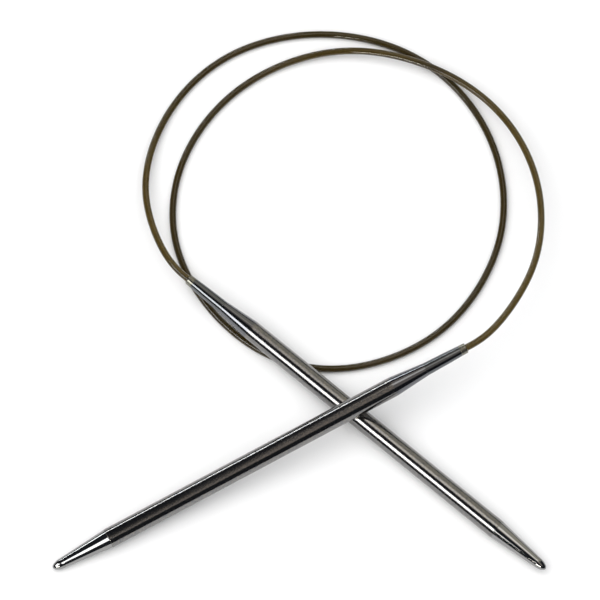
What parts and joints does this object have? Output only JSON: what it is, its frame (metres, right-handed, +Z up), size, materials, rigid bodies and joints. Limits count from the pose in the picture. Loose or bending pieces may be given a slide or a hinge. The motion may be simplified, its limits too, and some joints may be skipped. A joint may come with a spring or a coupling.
{
  "type": "circular knitting needle",
  "caption": "Circular knitting needle: two straight metal needles with conical points, joined by one flexible nylon cable that swivels in slim join sleeves.",
  "frame": {"origin": "on the surface the object lies on, under the middle of the box round the two needles", "axes": "+X to the right and +Y away from the viewer as the object lies, points towards -Y, cable loop towards +Y; +Z up"},
  "size_m": [0.1338, 0.1574, 0.0144],
  "materials": {
    "plated_shaft": "nickel plated, fine grainy satin",
    "polished_point": "polished",
    "join_sleeve": "smooth satin",
    "end_collar": "satin",
    "cable_stop": "plain",
    "nylon_cable": "smooth translucent nylon"
  },
  "bodies": {
    "cable": {"cable": "nylon_cable"},
    "join_a": {"stop_a": "cable_stop"},
    "needle_a": {"shaft_a": "plated_shaft", "point_a": "polished_point", "ferrule_a": "join_sleeve", "collar_a": "end_collar"},
    "join_b": {"stop_b": "cable_stop"},
    "needle_b": {"shaft_b": "plated_shaft", "point_b": "polished_point", "ferrule_b": "join_sleeve", "collar_b": "end_collar"}
  },
  "joints": [
    {"name": "needle_a_swing", "type": "hinge", "parent": "cable", "child": "join_a", "pos_m": [0.0453, 0.0185, 0.01289], "axis": [-0.0512, -0.1006, 0.9936], "range_deg": [-30, 0], "stiffness_Nm_per_rad": 0.02, "deforming": ["cable"]},
    {"name": "needle_a_turn", "type": "hinge", "parent": "join_a", "child": "needle_a", "pos_m": [0.0453, 0.0185, 0.01289], "axis": [0.8808, 0.4644, 0.0924], "continuous": true},
    {"name": "needle_b_swing", "type": "hinge", "parent": "cable", "child": "join_b", "pos_m": [-0.0303, 0.041, 0.00562], "axis": [-0.0512, -0.1006, 0.9936], "range_deg": [0, 30], "stiffness_Nm_per_rad": 0.02, "deforming": ["cable"]},
    {"name": "needle_b_turn", "type": "hinge", "parent": "join_b", "child": "needle_b", "pos_m": [-0.0303, 0.041, 0.00562], "axis": [-0.7624, 0.6466, 0.0262], "continuous": true}
  ]
}
